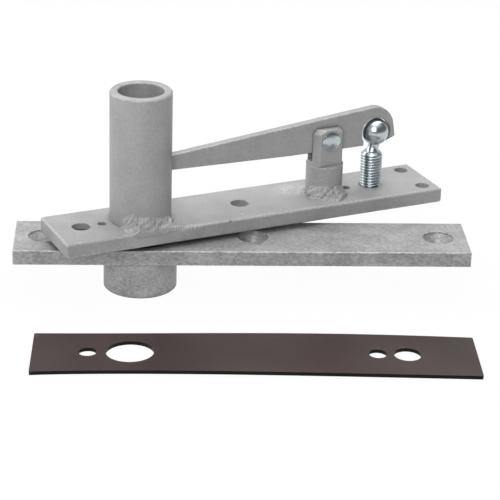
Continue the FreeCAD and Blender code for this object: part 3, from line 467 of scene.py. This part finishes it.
# Adjusting screw. A set screw with a ball turned on its end, zinc plated: rolled 60-degree thread, a neck,
# the ball, and a hexagon socket in the foot for the key. The lever's socket sits round the ball.
screw_low, screw_high = (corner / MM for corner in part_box("adjusting_screw"))
BALL_X, THREAD_LEFT = (screw_low.x + screw_high.x) / 2, 0.95
SCREW_X = BALL_X - THREAD_LEFT
THREAD_RADIUS, THREAD_PITCH, THREAD_DEPTH = 4.7, 1.27, 0.68
SHOULDER_DROP, NECK_RADIUS, NECK_FILLET, BALL_OVER = 8.7, 2.425, 0.35, 0.1
FOOT_CHAMFER, TOP_CHAMFER = 0.8, 1.2
SOCKET_HALF, SOCKET_DEPTH, SOCKET_POINT, POINT_SHARE = 2.38, 5.0, 0.8, 0.05
AROUND, PER_TURN, BALL_RINGS, POLE = 144, 26, 60, 0.012
foot = screw_low.z
ball_middle = screw_high.z - BALL_RADIUS
shoulder = ball_middle - SHOULDER_DROP
turn = np.linspace(0, 2 * np.pi, AROUND, endpoint=False)[None]

# Thread: radius on a grid of turn and height, a cosine whose phase goes once round in one pitch
height = np.arange(foot, shoulder, THREAD_PITCH / PER_TURN)[:, None]
phase = (height / THREAD_PITCH - turn / (2 * np.pi)) % 1
tooth = 0.5 - 0.5 * np.cos(2 * np.pi * phase)
limit = np.minimum(
    THREAD_RADIUS - FOOT_CHAMFER + (height - foot), THREAD_RADIUS - TOP_CHAMFER + (shoulder - height)
)
thread = np.minimum(THREAD_RADIUS - THREAD_DEPTH * (1 - tooth), np.minimum(limit, THREAD_RADIUS))

# Hexagon: its radius at each turn is the half width over the cosine of the angle from the nearest flat
flat = (turn + np.pi / 6) % (np.pi / 3) - np.pi / 6
hexagon = SOCKET_HALF / np.cos(flat)

# Ball: a sphere from the neck's circle to the top
start = math.asin(NECK_RADIUS / BALL_RADIUS)
polar = np.linspace(np.pi - start, POLE, BALL_RINGS)[:, None]
all_round = 0 * turn
radii = np.concatenate([
    POINT_SHARE * hexagon, hexagon, hexagon, thread,
    all_round + NECK_RADIUS + NECK_FILLET, all_round + NECK_RADIUS,
    (BALL_RADIUS + BALL_OVER) * np.sin(polar) + all_round,
])
levels = np.concatenate([
    [[foot + SOCKET_DEPTH + SOCKET_POINT]], [[foot + SOCKET_DEPTH]], [[foot]], height,
    [[shoulder]], [[shoulder + NECK_FILLET]],
    ball_middle + BALL_OVER + (BALL_RADIUS + BALL_OVER) * np.cos(polar),
])
# The neck leans: the axis moves over from the thread's to the ball's between the shoulder and the ball
over = np.clip((levels - shoulder) / (levels[-len(polar)] - shoulder), 0, 1)
middle = SCREW_X + (BALL_X - SCREW_X) * over
rings = np.stack([middle + radii * np.cos(turn), radii * np.sin(turn), levels + all_round], -1) * MM
piece = loft("ball_screw", rings, zinc, "screw", smooth=50)
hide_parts("adjusting_screw")

# Pivot pin. Ground bar, turned down to the stub that runs in the door half, with a milled pocket for the
# lever's tip.
# Ground steel: a dull dark grey metal with fine lines round the pin, each a millimetre long and a ninth of
# that high
ground, tree = new_finish("ground_steel")
place = add(tree, "ShaderNodeTexCoord").outputs["Object"]
GRINDING_LINE, DRAWN_OUT = 1.0 * MM, 9.0
stretch = add(tree, "ShaderNodeMapping", {"Scale": (1.0, 1.0, DRAWN_OUT)}, {"Vector": place})
lines = add(tree, "ShaderNodeTexNoise", {"Scale": 1 / GRINDING_LINE, "Detail": 3.0}, {"Vector": stretch})
metal = add(tree, "ShaderNodeMix", {"data_type": "RGBA", 6: linear("#6e6f71"), 7: linear("#8e8f91")},
            {0: lines}).outputs[2]
relief = add(tree, "ShaderNodeBump", {"Strength": 0.25, "Distance": 0.01 * MM}, {"Height": lines})
shader = add(tree, "ShaderNodeBsdfPrincipled", {"Metallic": 1.0, "Roughness": 0.45},
             {"Base Color": metal, "Normal": relief})
add(tree, "ShaderNodeOutputMaterial", links={"Surface": shader})
dress("pivot_pin", ground)

# Door plate. The same bar with three countersunk holes, left without lacquer. It swings with the door.
# Rolled and pickled steel: mottled dull grey, pale along its edges, partly rubbed and partly a painted
# highlight, darkened with painted shade in its corners, with fine pits, and with bright rings from the drill
# in the countersinks
mill, tree = new_finish("pickled_rolled_steel")
place = add(tree, "ShaderNodeTexCoord").outputs["Object"]
DOOR_ANGLE = math.radians(21.98)
HOLES, SINK_RADIUS, CHATTER = (-40.1 * MM, 47.1 * MM, 125.1 * MM), 6.5 * MM, 0.5 * MM
PATCH, MOTTLE, PITTING, STREAK = 9 * MM, 0.9 * MM, 0.5 * MM, 0.6
SKIN_EDGE, SKIN_CORNER, CHATTER_HEIGHT = 0.4 * MM, 3 * MM, 0.35
turned = add(tree, "ShaderNodeMapping", {"Rotation": (0.0, 0.0, DOOR_ANGLE)}, {"Vector": place})
drawn = {"operation": "MULTIPLY", 1: (STREAK, 1.0, 1.0)}
rolled = add(tree, "ShaderNodeVectorMath", drawn, {0: turned})
patch = add(tree, "ShaderNodeTexNoise", {"Scale": 1 / PATCH, "Detail": 3.0}, {"Vector": rolled})
mottle = add(tree, "ShaderNodeTexNoise", {"Scale": 1 / MOTTLE, "Detail": 5.0, "Roughness": 0.66},
             {"Vector": rolled})
pits = add(tree, "ShaderNodeTexNoise", {"Scale": 1 / PITTING, "Detail": 3.0}, {"Vector": place})
both = add(tree, "ShaderNodeMix", {0: 0.68}, {2: patch, 3: mottle})
tone = add(tree, "ShaderNodeMapRange", {"From Min": 0.38, "From Max": 0.62}, {"Value": both})
skin = add(tree, "ShaderNodeMix", {"data_type": "RGBA", 6: linear("#828282"), 7: linear("#b0b0b0")},
           {0: tone}).outputs[2]
closed, is_open = corners(tree, SKIN_CORNER)
rounded, worn = edges(tree, SKIN_EDGE, is_open)
broken = add(tree, "ShaderNodeMapRange", {"From Min": 0.42, "From Max": 0.56}, {"Value": mottle})
rubbed = add(tree, "ShaderNodeMath", {"operation": "MULTIPLY"}, {0: worn, 1: broken})
# Painted highlight, with some real wear: the convex edges are tinted pale
colour = tint(tree, skin, rubbed, "#e4e4e4", 0.85)
# Painted shade: a dark tint in the closed corners and in the gap under the frame plate, by occlusion
colour = tint(tree, colour, closed, "#363534", 0.5)
# A dark smear in front of the middle hole
colour = mark(tree, colour, place, (43.0, -24.9, 21.75), 2.0, "#4a4a4a", 0.9, mottle)
# The drill's chatter: rings round the nearest hole
local = add(tree, "ShaderNodeSeparateXYZ", links={"Vector": turned})
along = local.outputs["X"]
apart = [add(tree, "ShaderNodeMath", {"operation": "SUBTRACT", 1: hole}, {0: along}) for hole in HOLES]
apart = [add(tree, "ShaderNodeMath", {"operation": "ABSOLUTE"}, {0: distance}) for distance in apart]
nearest = add(tree, "ShaderNodeMath", {"operation": "MINIMUM"}, {0: apart[0], 1: apart[1]})
nearest = add(tree, "ShaderNodeMath", {"operation": "MINIMUM"}, {0: nearest, 1: apart[2]})
from_hole = add(tree, "ShaderNodeCombineXYZ", links={"X": nearest, "Y": local.outputs["Y"]})
radius = add(tree, "ShaderNodeVectorMath", {"operation": "LENGTH"}, {0: from_hole}).outputs["Value"]
turns = add(tree, "ShaderNodeMath", {"operation": "MULTIPLY", 1: 2 * math.pi / CHATTER}, {0: radius})
in_hole = add(tree, "ShaderNodeMath", {"operation": "LESS_THAN", 1: SINK_RADIUS}, {0: radius})
wave = add(tree, "ShaderNodeMath", {"operation": "SINE"}, {0: turns})
chatter = add(tree, "ShaderNodeMath", {"operation": "MULTIPLY"}, {0: wave, 1: in_hole})
machined = add(tree, "ShaderNodeMapRange", {"To Min": 1.0, "To Max": 0.25}, {"Value": in_hole})
pitted = add(tree, "ShaderNodeMath", {"operation": "MULTIPLY"}, {0: pits, 1: machined})
mixed_in = {"operation": "MULTIPLY_ADD", 1: CHATTER_HEIGHT}
uneven = add(tree, "ShaderNodeMath", mixed_in, {0: chatter, 2: pitted})
gloss = add(tree, "ShaderNodeMapRange", {"To Min": 0.36, "To Max": 0.56}, {"Value": mottle})
relief = add(tree, "ShaderNodeBump", {"Strength": 0.6, "Distance": 0.07 * MM},
             {"Height": uneven, "Normal": rounded})
shader = add(tree, "ShaderNodeBsdfPrincipled", {"Metallic": 0.35},
             {"Base Color": colour, "Roughness": gloss, "Normal": relief})
add(tree, "ShaderNodeOutputMaterial", links={"Surface": shader})
dress("door_plate", mill)

# Pivot cup. Turned from the same steel and welded to the plate's underside from inside, where it carries the
# bushing. It has the same dull skin.
dress("pivot_cup", mill)

# Pivot bushing. A plain bearing, pressed into plate and cup and flush with the plate's top.
# Sintered bronze: a dull gold metal with pores. The real ones are a few hundredths of a millimetre wide and
# wouldn't show, so they are drawn a quarter of a millimetre wide.
bronze, tree = new_finish("sintered_bronze")
place = add(tree, "ShaderNodeTexCoord").outputs["Object"]
PORE = 0.25 * MM
pores = add(tree, "ShaderNodeTexNoise", {"Scale": 1 / PORE, "Detail": 3.0}, {"Vector": place})
metal = add(tree, "ShaderNodeMix", {"data_type": "RGBA", 6: linear("#5c4f3c"), 7: linear("#7d6c52")},
            {0: pores}).outputs[2]
relief = add(tree, "ShaderNodeBump", {"Strength": 0.3, "Distance": 0.02 * MM}, {"Height": pores})
shader = add(tree, "ShaderNodeBsdfPrincipled", {"Metallic": 1.0, "Roughness": 0.5},
             {"Base Color": metal, "Normal": relief})
add(tree, "ShaderNodeOutputMaterial", links={"Surface": shader})
dress("pivot_bushing", bronze)

# Cover plate. Thin sheet, punched with four holes, that lies in front of the hinge, taken off.
# Dark bronze enamel, baked on: a soft brown sheen on the faces, while hole walls and cut edges are nearly
# black
enamel, tree = new_finish("dark_bronze_enamel")
place = add(tree, "ShaderNodeTexCoord").outputs["Object"]
SHADE, FLAKE = 55 * MM, 0.6 * MM
shade = add(tree, "ShaderNodeTexNoise", {"Scale": 1 / SHADE, "Detail": 1.0}, {"Vector": place})
flake = add(tree, "ShaderNodeTexNoise", {"Scale": 1 / FLAKE, "Detail": 2.0}, {"Vector": place})
tone = add(tree, "ShaderNodeMapRange", {"From Min": 0.35, "From Max": 0.65}, {"Value": shade})
face = add(tree, "ShaderNodeMix", {"data_type": "RGBA", 6: linear("#372b2b"), 7: linear("#433737")},
           {0: tone}).outputs[2]
normal = add(tree, "ShaderNodeNewGeometry").outputs["Normal"]
facing = add(tree, "ShaderNodeSeparateXYZ", links={"Vector": normal})
upright = add(tree, "ShaderNodeMath", {"operation": "ABSOLUTE"}, {0: facing.outputs["Z"]})
flat_face = add(tree, "ShaderNodeMapRange", {"From Min": 0.4, "From Max": 0.8}, {"Value": upright})
cut_edges = {"data_type": "RGBA", 6: linear("#0d0909")}
colour = add(tree, "ShaderNodeMix", cut_edges, {0: flat_face, 7: face}).outputs[2]
relief = add(tree, "ShaderNodeBump", {"Strength": 0.1, "Distance": 0.02 * MM}, {"Height": flake})
shader = add(tree, "ShaderNodeBsdfPrincipled", {"Roughness": 0.4, "Specular IOR Level": 0.15},
             {"Base Color": colour, "Normal": relief})
add(tree, "ShaderNodeOutputMaterial", links={"Surface": shader})

# The sheet is not quite flat: it touches the table at both ends and stands a millimetre off it between them.
# Over its length t from 0 to 1 it rises as the sine of pi t^p; p grows across it, so the crest runs askew.
COVER_TURN, COVER_HALF_LENGTH, COVER_HALF_WIDTH = math.radians(-22.9), 87.5, 16.95
BOW, FRONT_POWER, BACK_POWER, CUTS_ALONG, CUTS_ACROSS = 1.15, 0.68, 1.45, 60, 6
cover_low, cover_high = (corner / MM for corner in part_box("cover_plate"))
centre = np.array([(cover_low.x + cover_high.x) / 2, (cover_low.y + cover_high.y) / 2])
along = np.array([math.cos(COVER_TURN), math.sin(COVER_TURN)])
across = np.array([-along[1], along[0]])
sheet = merged("cover_plate")
for way, half, cuts in ((along, COVER_HALF_LENGTH, CUTS_ALONG), (across, COVER_HALF_WIDTH, CUTS_ACROSS)):
    for place_on in np.linspace(-half, half, cuts + 2)[1:-1]:
        point = (centre + way * place_on) * MM
        bmesh.ops.bisect_plane(sheet, geom=sheet.verts[:] + sheet.edges[:] + sheet.faces[:],
                               plane_co=(*point, 0), plane_no=(*way, 0))


def bow(places):
    """Lifts the sheet off the table between its ends."""
    from_centre = places[:, :2] / MM - centre
    length = np.clip(from_centre @ along / COVER_HALF_LENGTH / 2 + 0.5, 0, 1)
    width = np.clip(from_centre @ across / COVER_HALF_WIDTH / 2 + 0.5, 0, 1)
    power = FRONT_POWER + (BACK_POWER - FRONT_POWER) * width
    places[:, 2] += BOW * MM * np.sin(np.pi * length**power)
    return places


piece = reshaped(sheet, "bowed_cover_plate", bow, enamel, "frame_half", smooth=30)
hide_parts("cover_plate")

# Floor. A plain white table, a hair under the cup's foot and the cover. To the camera and to reflections it
# glows almost white, and the rest of it is lit, so that it keeps the object's soft shadow.
FLOOR_HALF, FLOOR_DROP, GLOW_SHARE = 6.0, 0.05 * MM, 0.97
outline = np.array([(-1, -1), (1, -1), (1, 1), (-1, 1)]) * FLOOR_HALF
mesh = bpy.data.meshes.new("floor")
mesh.from_pydata([(x, y, -FLOOR_DROP) for x, y in outline], [], [(0, 1, 2, 3)])
floor = bpy.data.objects.new("floor", mesh)
bpy.context.scene.collection.objects.link(floor)
white, tree = new_finish("white_table")
seen = add(tree, "ShaderNodeLightPath")
direct = add(tree, "ShaderNodeMath", {"operation": "MAXIMUM"},
             {0: seen.outputs["Is Camera Ray"], 1: seen.outputs["Is Glossy Ray"]})
share = add(tree, "ShaderNodeMath", {"operation": "MULTIPLY", 1: GLOW_SHARE}, {0: direct})
matt = add(tree, "ShaderNodeBsdfDiffuse", {"Color": linear("#dcdcdc")})
glow = add(tree, "ShaderNodeEmission", {"Color": (1, 1, 1, 1), "Strength": 1.0})
mixed = add(tree, "ShaderNodeMixShader", links={0: share, 1: matt, 2: glow})
add(tree, "ShaderNodeOutputMaterial", links={"Surface": mixed})
mesh.materials.append(white)

# Light. A white studio, pure white to the camera. To reflections and as soft light it is white behind the
# object and overhead, with a bright window at the left and dim walls on the photographer's side.
world = bpy.data.worlds.new("studio")
bpy.context.scene.world = world
world.use_nodes = True
tree = world.node_tree
tree.nodes.clear()
DIM_WALL, WINDOW, GLOSSY_GAIN, AMBIENT, WINDOW_AMBIENT = 0.22, 0.7, 0.8, 0.10, 0.44
sight = add(tree, "ShaderNodeTexCoord").outputs["Generated"]
toward = add(tree, "ShaderNodeSeparateXYZ", links={"Vector": sight})
overhead = add(tree, "ShaderNodeMapRange",
               {"interpolation_type": "SMOOTHSTEP", "From Min": 0.62, "From Max": 0.86},
               {"Value": toward.outputs["Z"]})
behind = add(tree, "ShaderNodeMapRange",
             {"interpolation_type": "SMOOTHSTEP", "From Min": -0.05, "From Max": 0.45},
             {"Value": toward.outputs["Y"]})
window = add(tree, "ShaderNodeMapRange",
             {"interpolation_type": "SMOOTHSTEP", "From Min": -0.55, "From Max": -0.9},
             {"Value": toward.outputs["X"]})
pane = add(tree, "ShaderNodeMath", {"operation": "MULTIPLY", 1: WINDOW}, {0: window})
bright = add(tree, "ShaderNodeMath", {"operation": "MAXIMUM"}, {0: overhead, 1: behind})
bright = add(tree, "ShaderNodeMath", {"operation": "MAXIMUM"}, {0: bright, 1: pane})
room = add(tree, "ShaderNodeMapRange", {"To Min": DIM_WALL * GLOSSY_GAIN, "To Max": GLOSSY_GAIN},
           {"Value": bright})
soft = add(tree, "ShaderNodeMapRange", {"To Min": AMBIENT, "To Max": AMBIENT + WINDOW_AMBIENT},
           {"Value": window})
seen = add(tree, "ShaderNodeLightPath")
lit = add(tree, "ShaderNodeMix", links={0: seen.outputs["Is Glossy Ray"], 2: soft, 3: room})
level = add(tree, "ShaderNodeMath", {"operation": "MAXIMUM"}, {0: lit, 1: seen.outputs["Is Camera Ray"]})
sky = add(tree, "ShaderNodeBackground", {"Color": (1, 1, 1, 1)}, {"Strength": level})
add(tree, "ShaderNodeOutputWorld", links={"Surface": sky})
TARGET, LAMP_DISTANCE, LAMP_SIZE = np.array([0.04, -0.03, 0.03]), 1.1, 0.6
for name, azimuth, elevation, watts in (
    ("rear_left", -135, 25, 3.7), ("high_left", -160, 55, 2.7), ("front_left", -36, 35, 6.5),
    ("top", 0, 86, 4.5), ("rear_right", 122, 60, 5.2),
):
    bearing, climb = math.radians(azimuth), math.radians(elevation)
    sideways = math.cos(climb) * np.array([math.sin(bearing), -math.cos(bearing)])
    back = np.array([*sideways, math.sin(climb)])
    lamp = bpy.data.lights.new(name, "AREA")
    lamp.size, lamp.energy = LAMP_SIZE, watts
    holder = bpy.data.objects.new(name, lamp)
    holder.location = TARGET + back * LAMP_DISTANCE
    holder.rotation_euler = (math.acos(back[2]), 0, math.atan2(back[0], -back[1]))
    bpy.context.scene.collection.objects.link(holder)

# Camera. Where the photograph was taken from, as the straight edges of the three plates give it.
camera = bpy.data.cameras.new("camera")
camera.lens, camera.sensor_width = 146.84, 36.0
camera.shift_x, camera.shift_y = -0.02383, 0.00133
camera.clip_start, camera.clip_end = 0.01, 20.0
viewer = bpy.data.objects.new("camera", camera)
viewer.location = (-0.29370, -0.72668, 0.35672)
viewer.rotation_euler = tuple(math.radians(v) for v in (66.5058, -1.6700, -25.0032))
bpy.context.scene.collection.objects.link(viewer)
bpy.context.scene.camera = viewer
bpy.context.scene.view_settings.view_transform = "Standard"
